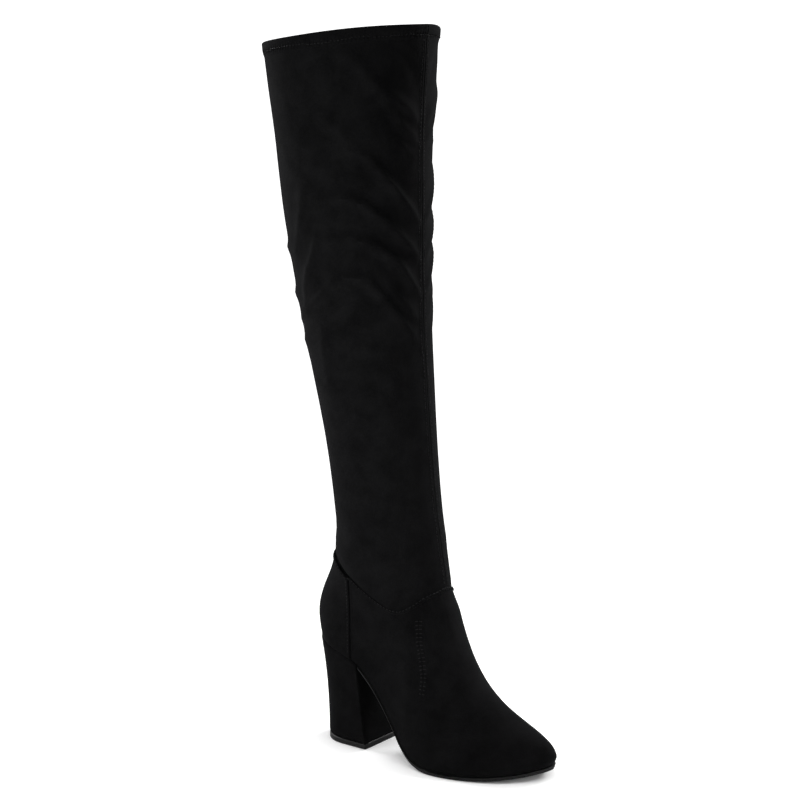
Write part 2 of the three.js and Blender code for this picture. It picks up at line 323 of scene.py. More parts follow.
frontSeam = {
    "turn": -3,  # degrees
    "stitchRow": 2.9 * mm,  # either side of the seam
    "groove": -0.45 * mm,
    "grooveHalf": 0.5 * mm,
    "dent": -0.22 * mm,
    "dentHalf": 0.6 * mm,
    "welt": 0.35 * mm,
    "weltHalf": 3.4 * mm,
    "weltFade": (0.6, 1.5),  # of weltHalf
    "stitchesFrom": 4 * mm,  # above the foot's edge
    "stitchesTo": 10 * mm,  # below the top
    "pathStep": 4 * mm,
}

# Each fold runs through (degrees, mm up). Rise is in mm, and left and right are how far
# it reaches to each side, in mm, as seen from outside by someone who walks along the points
folds = [
    {"through": [(60, 555), (48, 543), (40, 530), (30, 524), (19, 516), (5, 506)],
     "rise": 2.4, "left": 11, "right": 10},
    {"through": [(36, 524), (24, 516), (13, 508), (3, 501)], "rise": 2.0, "left": 7, "right": 5},
    {"through": [(39, 528), (31, 516), (24, 507), (16, 497), (3, 486)],
     "rise": 2.8, "left": 6.4, "right": 5.5},
    {"through": [(26, 487), (20, 484), (5, 473)], "rise": 1.1, "left": 5, "right": 4.5},
    {"through": [(62, 481), (46, 474), (37, 465), (29, 455), (21, 445), (12, 435), (1, 424)],
     "rise": 3.4, "left": 6.4, "right": 5.5},
    {"through": [(92, 440), (66, 443), (51, 439), (39, 430), (29, 421), (19, 412), (3, 398)],
     "rise": 3.8, "left": 6.4, "right": 5.5},
    {"through": [(94, 406), (65, 413), (52, 410), (41, 406), (31, 399), (22, 392), (14, 382), (2, 368)],
     "rise": 3.6, "left": 6.4, "right": 5.5},
    {"through": [(34, 377), (22, 365), (7, 351)], "rise": 1.9, "left": 7, "right": 5},
    {"through": [(138, 346), (116, 357), (99, 365), (84, 375), (72, 381), (63, 383), (50, 380),
                 (40, 370), (30, 358), (20, 346), (9, 335)],
     "rise": 3.2, "left": 6.4, "right": 5.5},
    {"through": [(30, 561), (21, 555), (13, 547), (8, 538), (4, 528)],
     "rise": -1.8, "left": 12, "right": 12},
    {"through": [(98, 516), (78, 507), (65, 494), (52, 481)], "rise": 2.0, "left": 16, "right": 9},
    {"through": [(90, 420), (95, 405), (100, 395), (107, 385), (114, 372), (118, 360)],
     "rise": 2.2, "left": 9, "right": 7},
    {"through": [(100, 455), (105, 437), (109, 424), (116, 408), (127, 392)],
     "rise": 1.6, "left": 12, "right": 10},
    {"through": [(97, 350), (104, 325), (108, 298)], "rise": 0.8, "left": 9, "right": 9},
    {"through": [(122, 410), (150, 401), (180, 403)], "rise": 1.6, "left": 9, "right": 7},
    {"through": [(120, 374), (150, 365), (180, 367)], "rise": 1.6, "left": 9, "right": 7},
    {"through": [(122, 338), (150, 326), (180, 328)], "rise": 1.2, "left": 9, "right": 7},
    {"through": [(150, 490), (150, 450), (150, 400)], "rise": 1.2, "left": 34, "right": 34},
]


def smoothstep(value, low, high):
    share = np.clip((value - low) / (high - low), 0, 1)
    return share * share * (3 - 2 * share)


def outward(angle):
    return Vector((cos(angle), -sin(angle), 0))


def harmonicsAt(values, angles, count):
    spectrum = np.fft.rfft(values, axis=-1)[..., :count + 1] / values.shape[-1]
    waves = np.exp(1j * np.outer(np.arange(count + 1), angles))
    waves[1:] *= 2
    return (spectrum @ waves).real


def blurRows(grid, width):
    reach = int(3 * width)
    weights = np.exp(-0.5 * (np.arange(-reach, reach + 1) / width) ** 2)
    weights /= weights.sum()
    first = 2 * grid[:1] - grid[1:reach + 1][::-1]
    last = 2 * grid[-1:] - grid[-reach - 1:-1][::-1]
    padded = np.vstack([first, grid, last])
    return sum(weight * padded[i:i + len(grid)] for i, weight in enumerate(weights))


def middleAt(tree, z):
    front = tree.ray_cast(Vector((rays["fromFront"], 0, z)), Vector((-1, 0, 0)))[0]
    back = tree.ray_cast(Vector((-rays["fromFront"], 0, z)), Vector((1, 0, 0)))[0]
    return (front.x + back.x) / 2


# The height where a wall ends, seen from a point on the shaft's middle line
def edgeAt(tree, middle, angle, edge):
    inside, outside = edgeSearch[edge]
    for _ in range(rays["halvings"]):
        z = (inside + outside) / 2
        if tree.ray_cast(Vector((middle, 0, z)), outward(angle))[0] is None:
            outside = z
        else:
            inside = z
    return inside


# The hit of a ray that runs in from outside towards the middle line
def castInwards(tree, middle, angle, z):
    start = Vector((middle, 0, z)) + outward(angle) * rays["fromMiddle"]
    return tree.ray_cast(start, -outward(angle))


def reachAt(tree, middle, angle, z):
    distance = castInwards(tree, middle, angle, z)[3]
    return np.nan if distance is None else rays["fromMiddle"] - distance


def columnAngles():
    seam, half = radians(frontSeam["turn"]), radians(shaft["seamHalf"])
    fine = seam + np.linspace(-half, half, shaft["seamColumns"] + 1)
    step = (2 * pi - 2 * half) / shaft["plainColumns"]
    return np.concatenate([fine, seam + half + np.arange(1, shaft["plainColumns"]) * step])


class ShaftForm:
    def __init__(self):
        tree = treeOf(nodes["shaft"])
        low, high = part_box("shaft")
        heights = np.linspace(shaft["tubeFrom"], high.z - shaft["middleTo"], shaft["middleSamples"])
        middles = [middleAt(tree, z) for z in heights]
        self.middle = lambda z: np.interp(z, heights, middles)
        cast = 2 * pi * np.arange(shaft["castColumns"]) / shaft["castColumns"]
        topX, bottomX = float(self.middle(high.z)), float(self.middle(low.z))
        tops = np.array([edgeAt(tree, topX, a, "collar") for a in cast])
        bottoms = np.array([edgeAt(tree, bottomX, a, "shaftBottom") for a in cast])
        footTree = treeOf(nodes["upper"])
        seams = np.array([edgeAt(footTree, bottomX, a, "footTop") for a in cast])
        self.angles = columnAngles()
        self.top = harmonicsAt(tops, self.angles, shaft["harmonics"])
        for turn, half, rise in shaft["topLifts"]:
            offset = (self.angles - radians(turn) + pi) % (2 * pi) - pi
            self.top = self.top + rise * mm * np.exp(-(offset / radians(half)) ** 2)
        self.seam = harmonicsAt(seams, self.angles, shaft["rimHarmonics"])
        bottom = harmonicsAt(bottoms, self.angles, shaft["rimHarmonics"])
        shares = np.linspace(0, 1, shaft["castRows"] + 1)[:, None]
        castZ = bottoms + shares * (tops - shaft["edgeDrop"] - bottoms)
        reach = np.empty_like(castZ)
        for row, rowHeights in enumerate(castZ):
            for column, (angle, z) in enumerate(zip(cast, rowHeights)):
                found = reachAt(tree, float(self.middle(z)), angle, z)
                reach[row, column] = found if found >= shaft["leastReach"] else np.nan
        for column in reach.T:
            real = np.flatnonzero(~np.isnan(column))
            column[:] = np.interp(np.arange(len(column)), real, column[real])
        reach = harmonicsAt(blurRows(reach, shaft["rowBlur"]), self.angles, shaft["harmonics"])
        coarse = np.arange(0, shaft["coarseRows"], shaft["coarseStep"])
        kept = np.concatenate([coarse, np.arange(shaft["coarseRows"], shaft["castRows"] + 1)])
        self.z = (bottom + shares * (self.top - shaft["edgeDrop"] - bottom))[kept]
        self.reach = reach[kept]
        probes = seams - shaft["rimProbe"]
        rims = np.array([reachAt(footTree, bottomX, a, z) for a, z in zip(cast, probes)])
        self.rim = harmonicsAt(rims, self.angles, shaft["rimHarmonics"])
        above = self.z - self.seam
        backward = (1 - np.cos(self.angles)) / 2
        hug = shaft["hugFront"] + (shaft["hugBack"] - shaft["hugFront"]) * backward
        lack = self.rim - hug - self.reachAtHeights(self.seam)
        hugging = (1 - smoothstep(above, *shaft["hugFade"])) * smoothstep(above, *shaft["tuck"])
        self.reach += lack * hugging

    # One height for each column
    def reachAtHeights(self, heights):
        columns = zip(heights, self.z.T, self.reach.T)
        return np.array([np.interp(height, z, reach) for height, z, reach in columns])

    def pointsAt(self, angles, reach, z):
        return np.stack([self.middle(z) + reach * np.cos(angles), -reach * np.sin(angles), z], axis=-1)


form = ShaftForm()


def smoothPath(through, steps=12):
    rows = np.array(through, float)
    rows = np.vstack([2 * rows[0] - rows[1], rows, 2 * rows[-1] - rows[-2]])
    path = []
    for a, b, c, d in zip(rows, rows[1:], rows[2:], rows[3:]):
        for share in np.arange(steps) / steps:
            bend = (2 * a - 5 * b + 4 * c - d) * share ** 2 + (3 * b - a - 3 * c + d) * share ** 3
            path.append(0.5 * (2 * b + (c - a) * share + bend))
    path.append(rows[-2])
    return np.array(path)


foldForm = {
    "pathSteps": 24,  # between two points, so that a crest doesn't scallop
    "halfWidth": 0.5,  # of left or right
    "tip": 1.6 * mm,  # rounds the crest
    "steepness": 1.25,
    "crest": 1.35,
    "flank": 0.35,  # a broad, shallow dip on both sides of the crest
    "reach": 1.6,  # of the wider side
    "ends": (0.02, 0.98),  # where the fade along a fold starts and ends
}


# Side is 1 for the outer side, -1 for the inner one. Around and up are a point's place on the shaft
def oneFold(fold, side, around, up, girth):
    path = smoothPath(fold["through"], foldForm["pathSteps"])
    path = np.stack([np.radians(path[:, 0]) * side, path[:, 1] * mm], axis=-1)
    if side < 0:
        path[:, 0] += 2 * radians(frontSeam["turn"])
    left, right = (fold["left"], fold["right"]) if side > 0 else (fold["right"], fold["left"])
    widest = max(left, right) * mm
    reach = foldForm["reach"] * widest
    fade = np.sqrt(np.sin(pi * np.linspace(*foldForm["ends"], len(path))))
    best = np.full(up.shape, 1.0)  # metres, farther than any point lies
    strength = np.zeros_like(up)
    onLeft = np.zeros(up.shape, bool)
    steps = np.gradient(path, axis=0)
    for (angle, z), (stepAngle, stepUp), share in zip(path, steps, fade):
        across = -((around - angle + pi) % (2 * pi) - pi) * girth
        upwards = up - z
        distance = np.hypot(across, upwards)
        closer = distance < best
        leftSide = -stepAngle * girth * upwards - stepUp * across > 0
        best = np.where(closer, distance, best)
        strength = np.where(closer, share, strength)
        onLeft = np.where(closer, leftSide, onLeft)
    width = np.where(onLeft, left, right) * foldForm["halfWidth"] * mm
    tip = foldForm["tip"]
    crest = np.exp(-((np.hypot(best, tip) - tip) / width) ** foldForm["steepness"])
    flank = np.exp(-0.5 * (best / widest) ** 2)
    profile = foldForm["crest"] * crest - foldForm["flank"] * flank
    return fold["rise"] * mm * strength * profile * smoothstep(3 * reach - best, 0, reach)


# The inner side carries the same folds, shallower, so that they meet at the front seam
def foldRise(around, up, girth):
    outer = sum(oneFold(fold, 1, around, up, girth) for fold in folds)
    return outer + shaft["innerFolds"] * sum(oneFold(fold, -1, around, up, girth) for fold in folds)


def seamRise(around, girth):
    offset = np.abs((around - radians(frontSeam["turn"]) + pi) % (2 * pi) - pi) * girth
    groove = frontSeam["groove"] * np.exp(-(offset / frontSeam["grooveHalf"]) ** 2)
    besideRow = (offset - frontSeam["stitchRow"]) / frontSeam["dentHalf"]
    weltFrom, weltTo = (share * frontSeam["weltHalf"] for share in frontSeam["weltFade"])
    welt = frontSeam["welt"] * (1 - smoothstep(offset, weltFrom, weltTo))
    return groove + frontSeam["dent"] * np.exp(-besideRow ** 2) + welt


def shaftRise():
    around = np.broadcast_to(form.angles, form.z.shape)
    girth = form.reach.mean(axis=1, keepdims=True)
    aboveSeam = form.z - form.seam
    low = smoothstep(aboveSeam, *shaft["foldsFrom"])
    high = smoothstep(form.top - form.z, *shaft["foldsTo"])
    puff = smoothstep(aboveSeam, *shaft["puffRise"]) * (1 - smoothstep(aboveSeam, *shaft["puffFade"]))
    free = smoothstep(aboveSeam, *shaft["puffRise"])
    plain = shaft["puff"] * puff + shaft["fuller"] * free
    return foldRise(around, form.z, girth) * low * high + plain + seamRise(around, girth) * free


# A tube with as many columns and rows as the form has, each vertex laid on the form
def layTube(name, points):
    rows, columns = points.shape[:2]
    bpy.ops.mesh.primitive_cylinder_add(vertices=columns, radius=0.05, depth=1, end_fill_type="NOTHING")
    piece = bpy.context.object
    piece.name = name
    piece.data.name = name
    bpy.ops.object.mode_set(mode="EDIT")
    bpy.ops.mesh.select_mode(type="EDGE")
    bpy.ops.mesh.select_all(action="DESELECT")
    bpy.ops.object.mode_set(mode="OBJECT")
    places = readPoints(piece)
    for edge in piece.data.edges:
        a, b = edge.vertices
        edge.select = abs(places[a, 2] - places[b, 2]) > 0.5  # the upright edges, each 1 long
    bpy.ops.object.mode_set(mode="EDIT")
    bpy.ops.mesh.subdivide(number_cuts=rows - 2)
    bpy.ops.mesh.select_mode(type="VERT")
    bpy.ops.object.mode_set(mode="OBJECT")
    places = readPoints(piece)
    turns = np.arctan2(-places[:, 1], places[:, 0]) / (2 * pi)
    column = np.rint(turns * columns).astype(int) % columns
    row = np.rint((places[:, 2] + 0.5) * (rows - 1)).astype(int)
    writePoints(piece, points[row, column])
    selectOnly(piece)
    bpy.ops.object.mode_set(mode="EDIT")
    bpy.ops.mesh.select_all(action="SELECT")
    bpy.ops.mesh.normals_make_consistent(inside=False)
    bpy.ops.object.mode_set(mode="OBJECT")
    return piece


def makeShaft():
    form.reach = form.reach + shaftRise()
    piece = layTube("shaftSkin", form.pointsAt(form.angles, form.reach, form.z))
    wall = piece.modifiers.new("wall", "SOLIDIFY")
    wall.thickness = shaft["wall"]
    wall.offset = -1
    wall.material_offset = 1
    piece.data.materials.append(suede)
    piece.data.materials.append(lining)
    applyModifiers(piece)
    bpy.ops.object.shade_smooth_by_angle(angle=radians(smoothDegrees))
    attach(piece, "root")
    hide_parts("shaft")
    return piece


shaftSkin = makeShaft()
print("shaft made", len(shaftSkin.data.polygons))


# The other pieces follow their CAD nodes

# Edges sharper than keepSharp, in degrees, and open edges stay where they are
def smoothed(piece, factor, repeat, keepSharp):
    group = piece.vertex_groups.new(name="soft")
    sharp = np.zeros(len(piece.data.vertices), bool)
    normals = {}
    for polygon in piece.data.polygons:
        for edge in polygon.edge_keys:
            normals.setdefault(edge, []).append(polygon.normal)
    for (a, b), pair in normals.items():
        if len(pair) < 2 or pair[0].angle(pair[1], 0) > radians(keepSharp):
            sharp[a] = sharp[b] = True
    group.add([int(i) for i in np.nonzero(~sharp)[0]], 1.0, "REPLACE")
    modifier = piece.modifiers.new("smooth", "SMOOTH")
    modifier.factor = factor
    modifier.iterations = repeat
    modifier.vertex_group = "soft"
    applyModifiers(piece)


upper = {"sharpDegrees": 55, "crease": 0.9, "levels": 2, "smoothing": (0.5, 12, 45)}

rim = {
    "drawnIn": 2.6 * mm,  # at the front, where the foot's edge hugs the shaft
    "drawnFade": (0, 20 * mm),  # below the edge
}


def aroundShaft(values, angles):
    return np.interp(angles, form.angles, values, period=2 * pi)


def makeUpper():
    piece = copyOfNode("upper", "upperSkin")
    creaseSharpEdges(piece, upper["sharpDegrees"], upper["crease"])
    subdivided(piece, upper["levels"])
    smoothed(piece, *upper["smoothing"])
    points = readPoints(piece)
    middle = float(form.middle(0))
    around = np.arctan2(-points[:, 1], points[:, 0] - middle)
    below = aroundShaft(form.seam, around) - points[:, 2]
    frontShare = (1 + np.cos(around)) / 2
    drawn = rim["drawnIn"] * frontShare * (1 - smoothstep(below, *rim["drawnFade"]))
    points[:, 0] -= np.cos(around) * drawn
    points[:, 1] += np.sin(around) * drawn
    writePoints(piece, points)
    finishPiece(piece, suede, "suede", "upper")
    return piece


upperSkin = makeUpper()
print("upper made", len(upperSkin.data.polygons))


counter = {
    "sharpDegrees": 55,
    "crease": 0.8,
    "levels": 2,
    "smoothing": (0.5, 10, 45),
    "castColumns": 180,
    "leastTop": 125 * mm,  # lower finds aren't its top edge
    "underRim": 0.4 * mm,  # its top is stretched up to just under the foot's edge
    "mostLack": 6 * mm,
    "stretched": 18 * mm,  # how far down the stretch reaches
    "overHeel": 1.1 * mm,  # its lower edge closes the slit over the heel
    "overHeelFade": 9 * mm,
    "binDegrees": 4,
}


def makeCounter():
    piece = copyOfNode("counter", "counterPatch")
    creaseSharpEdges(piece, counter["sharpDegrees"], counter["crease"])
    subdivided(piece, counter["levels"])
    smoothed(piece, *counter["smoothing"])
    tree = treeOf(piece)
    middle = float(form.middle(0))
    turns = 2 * pi * np.arange(counter["castColumns"]) / counter["castColumns"]
    tops = np.array([edgeAt(tree, middle, a, "footTop") for a in turns])
    real = tops > counter["leastTop"]
    points = readPoints(piece)
    around = np.arctan2(-points[:, 1], points[:, 0] - middle) % (2 * pi)
    top = np.interp(around, turns[real], tops[real])
    wanted = aroundShaft(form.seam, around) - counter["underRim"]
    lack = np.clip(wanted - top, 0, counter["mostLack"])
    points[:, 2] += lack * smoothstep(points[:, 2] - top, -counter["stretched"], 0)
    bins = (np.degrees(around) // counter["binDegrees"]).astype(int)
    filled = np.unique(bins)
    lowest = np.array([points[bins == k, 2].min() for k in filled])
    bottom = np.interp(around, np.radians((filled + 0.5) * counter["binDegrees"]), lowest)
    nearBottom = 1 - smoothstep(points[:, 2] - bottom, 0, counter["overHeelFade"])
    points[:, 2] -= counter["overHeel"] * nearBottom
    writePoints(piece, points)
    finishPiece(piece, suede, "suede", "counter")
    return piece


counterPatch = makeCounter()


# The firm pieces keep their crisp edges
firmEdges = {"sharpDegrees": 40, "crease": 0.85, "levels": 3, "insoleLevels": 2}


def makeHeel():
    piece = copyOfNode("heel_block", "heelCover")
    creaseSharpEdges(piece, firmEdges["sharpDegrees"], firmEdges["crease"])
    subdivided(piece, firmEdges["levels"])
    finishPiece(piece, suede, "suede", "heel_block")


makeHeel()


def makeTopPiece():
    piece = copyOfNode("heel_top_piece", "heelTip")
    creaseSharpEdges(piece, firmEdges["sharpDegrees"], firmEdges["crease"])
    subdivided(piece, firmEdges["levels"])
    finishPiece(piece, glossPlastic, "top_piece", "heel_top_piece")


makeTopPiece()


def makeSole():
    piece = copyOfNode("outsole", "soleSlab")
    creaseSharpEdges(piece, firmEdges["sharpDegrees"], firmEdges["crease"])
    subdivided(piece, firmEdges["levels"])
    finishPiece(piece, soleRubber, "sole", "outsole")


makeSole()


def makeInsole():
    piece = copyOfNode("insole", "insoleSock")
    creaseSharpEdges(piece, firmEdges["sharpDegrees"], firmEdges["crease"])
    subdivided(piece, firmEdges["insoleLevels"])
    finishPiece(piece, lining, "lining", "insole")


makeInsole()


# Hem: the fabric turned in over the shaft's edge and stitched down.
# The outline runs from inside over the top and down outside: mm below the top, mm out from the shaft

hem = {
    "columns": 720,
    "outline": [(8.4, -1.75), (5, -1.8), (2.5, -1.85), (1.1, -1.7), (0.35, -1.25), (0, -0.55),
                (0.05, 0.15), (0.45, 0.65), (1.2, 0.9), (2.4, 0.95), (3.8, 0.95), (5.2, 0.92),
                (6.3, 0.85), (7, 0.7), (7.5, 0.5), (8, 0.42), (8.5, 0.42), (9, 0.4), (9.5, 0.32),
                (10.2, 0.2), (11, 0.05), (11.6, -0.3)],
    "stitchesBelow": 7.75 * mm,
    "pitch": 3.1 * mm,
    "pucker": 0.32 * mm,
    "puckerHalf": 2.0 * mm,
    "stations": 360,  # of its stitch line's path
}


# A flat grid with as many columns and rows as the points have, each vertex laid on its point
def layGrid(name, points):
    rows, columns = points.shape[:2]
    bpy.ops.mesh.primitive_grid_add(x_subdivisions=columns - 1, y_subdivisions=rows - 1, size=1)
    piece = bpy.context.object
    piece.name = name
    piece.data.name = name
    places = readPoints(piece)
    column = np.rint((places[:, 0] + 0.5) * (columns - 1)).astype(int)
    row = np.rint((places[:, 1] + 0.5) * (rows - 1)).astype(int)
    writePoints(piece, points[row, column])
    return piece


def makeHem():
    angles = 2 * pi * np.arange(hem["columns"]) / hem["columns"]
    tops = aroundShaft(form.top, angles)
    points = []
    for below, out in hem["outline"]:
        shaftReach = form.reachAtHeights(form.top - below * mm)
        reach = aroundShaft(shaftReach, angles) + out * mm
        if out > 0:
            along = angles * reach.mean() / hem["pitch"]
            near = np.exp(-((below * mm - hem["stitchesBelow"]) / hem["puckerHalf"]) ** 2)
            reach += hem["pucker"] * near * (np.sin(2 * pi * along) - 0.5)
        points.append(form.pointsAt(angles, reach, tops - below * mm))
    piece = layTube("collarHem", np.array(points))
    finishPiece(piece, suede, "suede", "collar_band")
    return piece


collarHem = makeHem()


# Seams and stitches are laid on the finished pieces

# An outline runs across its seam: mm to the side, mm out of the surface. A path is mm forward, mm up
seams = {
    "step": 0.7 * mm,  # between two stations along a seam
    "gather": 0.18,  # mm, between two stitches
    "gatherAbove": 0.2,  # mm
    "rimStations": 240,
    "rimHarmonics": 24,
    "rimBelow": 1.2 * mm,  # the foot's top edge
    "rimRow": 2.0 * mm,  # where the stitches lie beside each path
    "ladderRow": 1.5 * mm,
    "ladderSlant": 84,  # degrees, so nearly across the seam
    "counterRow": 2.2 * mm,
    "pathSteps": 6,
    "ladderOutline": [(-3.6, -0.35), (-3.2, 0.1), (-2.7, 0.32), (-2.1, 0.22), (-1.5, 0.34),
                      (-0.8, 0.34), (-0.35, 0), (0, -0.3), (0.35, 0), (0.8, 0.34), (1.5, 0.34),
                      (2.1, 0.22), (2.7, 0.32), (3.2, 0.1), (3.6, -0.35)],
    "counterOutline": [(-4.2, -0.3), (-3.6, 0.25), (-2.8, 0.4), (-2.0, 0.3), (-1.3, 0.5), (-0.8, 0.55),
                       (-0.55, 0.2), (-0.45, -0.5), (0.45, -0.5), (0.6, 0.1), (0.9, 0.32), (1.6, 0.3),
                       (2.4, 0.1), (3, -0.3)],
    "rimOutline": [(-1.1, -1.0), (-1.0, 0.2), (-0.7, 0.7), (-0.2, 0.9), (0.4, 0.85), (1.2, 0.55),
                   (2.0, 0.3), (2.6, 0.4), (3.3, 0.35), (4.0, 0.15), (4.5, -0.35)],
    "ladderPath": [(77, 116), (78.4, 108), (80, 98), (83.5, 86), (86.5, 74), (87, 61)],
    "counterPath": [(10.8, 138), (10.9, 125), (10.8, 107), (10.7, 92), (10.9, 80)],
}

stitch = {
    "pitch": 3.1 * mm,
    "length": 2.1 * mm,
    "rung": 2.3 * mm,  # the side seam's stitches lie across it
    "thick": 0.62 * mm,
    "laidFrom": 2 * mm,  # above the surface, so that a stitch lands on what lies on top
    # shares of the length along, of half the thickness up, and of the full width
    "rings": [(-0.5, -0.9, 0.55), (-0.36, 0.1, 0.95), (0, 0.42, 1), (0.36, 0.1, 0.95),
              (0.5, -0.9, 0.55)],
    "sides": 6,
}


def treeOfMany(*pieces):
    points, faces = [], []
    for piece in pieces:
        faces += [[i + len(points) for i in polygon.vertices] for polygon in piece.data.polygons]
        points += [tuple(vertex.co) for vertex in piece.data.vertices]
    return BVHTree.FromPolygons(points, faces)


def evenly(points, step, closed=False):
    points = np.array(points)
    if closed:
        points = np.vstack([points, points[:1]])
    lengths = np.concatenate([[0], np.cumsum(np.linalg.norm(np.diff(points, axis=0), axis=1))])
    count = max(2, int(round(lengths[-1] / step)))
    stations = np.linspace(0, lengths[-1], count + 1)[:count + (not closed)]
    return np.stack([np.interp(stations, lengths, points[:, axis]) for axis in range(3)], axis=-1)


def onSurface(tree, points):
    hits = [tree.find_nearest(Vector(point)) for point in points]
    return np.array([hit[0] for hit in hits]), np.array([hit[1] for hit in hits])


def softened(values, closed, reach=3):
    count = len(values)
    spots = np.arange(-reach, reach + 1)
    index = np.arange(count)[:, None] + spots
    index = index % count if closed else np.clip(index, 0, count - 1)
    mean = values[index].mean(axis=1)
    return mean / np.linalg.norm(mean, axis=1, keepdims=True)


def tangentsOf(places, closed):
    if closed:
        steps = np.roll(places, -1, axis=0) - np.roll(places, 1, axis=0)
    else:
        steps = np.gradient(places, axis=0)
    return steps / np.linalg.norm(steps, axis=1, keepdims=True)


def makeRibbon(name, tree, path, outline, pitch, closed=False):
    places, normals = onSurface(tree, evenly(path, seams["step"], closed))
    normals = softened(normals, closed)
    across = np.cross(normals, tangentsOf(places, closed))
    across /= np.linalg.norm(across, axis=1, keepdims=True)
    along = np.arange(len(places)) * seams["step"] / pitch
    points = []
    for offset, rise in outline:
        row, rowNormals = onSurface(tree, places + across * offset * mm)
        rowNormals = softened(rowNormals, closed, 2)
        gather = seams["gather"] * np.sin(2 * pi * along) * (rise > seams["gatherAbove"])
        points.append(row + rowNormals * ((rise + gather) * mm)[:, None])
    piece = layTube(name, np.array(points)) if closed else layGrid(name, np.array(points))
    finishPiece(piece, suede, "suede")
    return piece


# Each run is a path on a piece, how far beside it the stitches lie, whether it closes,
# their slant in degrees and their length
def makeStitches(name, tree, runs):
    points, faces = [], []
    sides = stitch["sides"]
    for path, beside, closed, slant, length in runs:
        places, normals = onSurface(tree, evenly(path, stitch["pitch"], closed))
        normals = softened(normals, closed, 1)
        tangents = tangentsOf(places, closed)
        across = np.cross(normals, tangents)
        places, normals = onSurface(tree, places + across * beside + normals * stitch["laidFrom"])
        normals = softened(normals, closed, 1)
        turn = radians(slant)
        ahead = tangents * cos(turn) + across * sin(turn)
        across = across * cos(turn) - tangents * sin(turn)
        for place, normal, tangent, side in zip(places, normals, ahead, across):
            first = len(points)
            for share, lift, width in stitch["rings"]:
                middle = place + tangent * share * length + normal * lift * stitch["thick"] * 0.5
                for k in range(sides):
                    turn = 2 * pi * k / sides
                    ring = (side * cos(turn) + normal * sin(turn)) * stitch["thick"] * 0.5 * width
                    points.append(tuple(middle + ring))
            for ring in range(len(stitch["rings"]) - 1):
                for k in range(sides):
                    a, b = first + ring * sides + k, first + ring * sides + (k + 1) % sides
                    faces.append((a, b, b + sides, a + sides))
    mesh = bpy.data.meshes.new(name)
    mesh.from_pydata(points, [], faces)
    piece = bpy.data.objects.new(name, mesh)
    bpy.context.scene.collection.objects.link(piece)
    finishPiece(piece, thread, "suede")
    return piece


# A path thrown onto a piece from its outer side (-1) or its inner side (1)
def throwSideways(tree, path, side):
    through = smoothPath(path, seams["pathSteps"]) * mm
    inwards = Vector((0, -side, 0))
    places = [tree.ray_cast(Vector((x, rays["fromMiddle"] * side, z)), inwards)[0] for x, z in through]
    return [place for place in places if place is not None]


def throwInwards(tree, angles, heights):
    places = []
    for angle, z in zip(angles, heights):
        places.append(castInwards(tree, float(form.middle(z)), angle, z)[0])
    return [place for place in places if place is not None]


def makeSeams():
    foot = treeOfMany(upperSkin, counterPatch)
    turns = 2 * pi * np.arange(seams["rimStations"]) / seams["rimStations"]
    middle = float(form.middle(0))
    upperTree = treeOf(upperSkin)
    rimHeights = np.array([edgeAt(upperTree, middle, a, "footTop") for a in turns])
    rimHeights = harmonicsAt(rimHeights, turns, seams["rimHarmonics"])
    rimPath = throwInwards(foot, turns, rimHeights - seams["rimBelow"])[::-1]
    pitch, length, rung = stitch["pitch"], stitch["length"], stitch["rung"]
    ribbons = [makeRibbon("rimLap", foot, rimPath, seams["rimOutline"], pitch, closed=True)]
    runs = [(rimPath, seams["rimRow"], True, 0, length)]
    for side, label in ((-1, "Outer"), (1, "Inner")):
        ladder = throwSideways(foot, seams["ladderPath"], side)
        counterEdge = throwSideways(foot, seams["counterPath"], side)
        ribbons.append(makeRibbon("sideSeam" + label, foot, ladder, seams["ladderOutline"], pitch))
        outline = [(offset * -side, rise) for offset, rise in seams["counterOutline"]][::-side]
        ribbons.append(makeRibbon("counterSeam" + label, foot, counterEdge, outline, pitch))
        for row in (1, -1):
            runs.append((ladder, seams["ladderRow"] * row, False, seams["ladderSlant"] * row, rung))
        runs.append((counterEdge, seams["counterRow"] * side, False, 0, length))
    makeStitches("footStitches", treeOfMany(upperSkin, counterPatch, *ribbons), runs)
    shaftTree = treeOf(shaftSkin)
    low = aroundShaft(form.seam, 0) + frontSeam["stitchesFrom"]
    high = aroundShaft(form.top, 0) - frontSeam["stitchesTo"]
    heights = np.arange(low, high, frontSeam["pathStep"])
    girths = np.array([np.interp(z, form.z[:, 0], form.reach[:, 0]) for z in heights])
    rows = [radians(frontSeam["turn"]) + side * frontSeam["stitchRow"] / girths for side in (-1, 1)]
    runs = [(throwInwards(shaftTree, row, heights), 0, False, 0, length) for row in rows]
    makeStitches("frontStitches", shaftTree, runs)
    hemTree = treeOf(collarHem)
    angles = 2 * pi * np.arange(hem["stations"]) / hem["stations"]
    hemPath = throwInwards(hemTree, angles, aroundShaft(form.top, angles) - hem["stitchesBelow"])
    makeStitches("hemStitches", hemTree, [(hemPath, 0, True, 0, length)])


makeSeams()
print("pieces made")


# Floor, world and lights

studio = {
    "floorSize": 0.7,
    "floorSides": 96,
    "floorColour": (0.8, 0.8, 0.8, 1),
    "paintedFloorGlow": 0.5,  # painted light: a glow lifts the paper to white, as the camera sees it, and fades into a painted contact shadow close under the boot
    # how far the painted contact shadow reaches out from the boot
    "shadowReach": 22 * mm,
    "skyColour": (1, 1, 1, 1),  # and the floor glow's
    "skyStrength": 0.1,  # as the boot sees it
    "backdropStrength": 1.3,  # as the camera sees it, past the floor
}


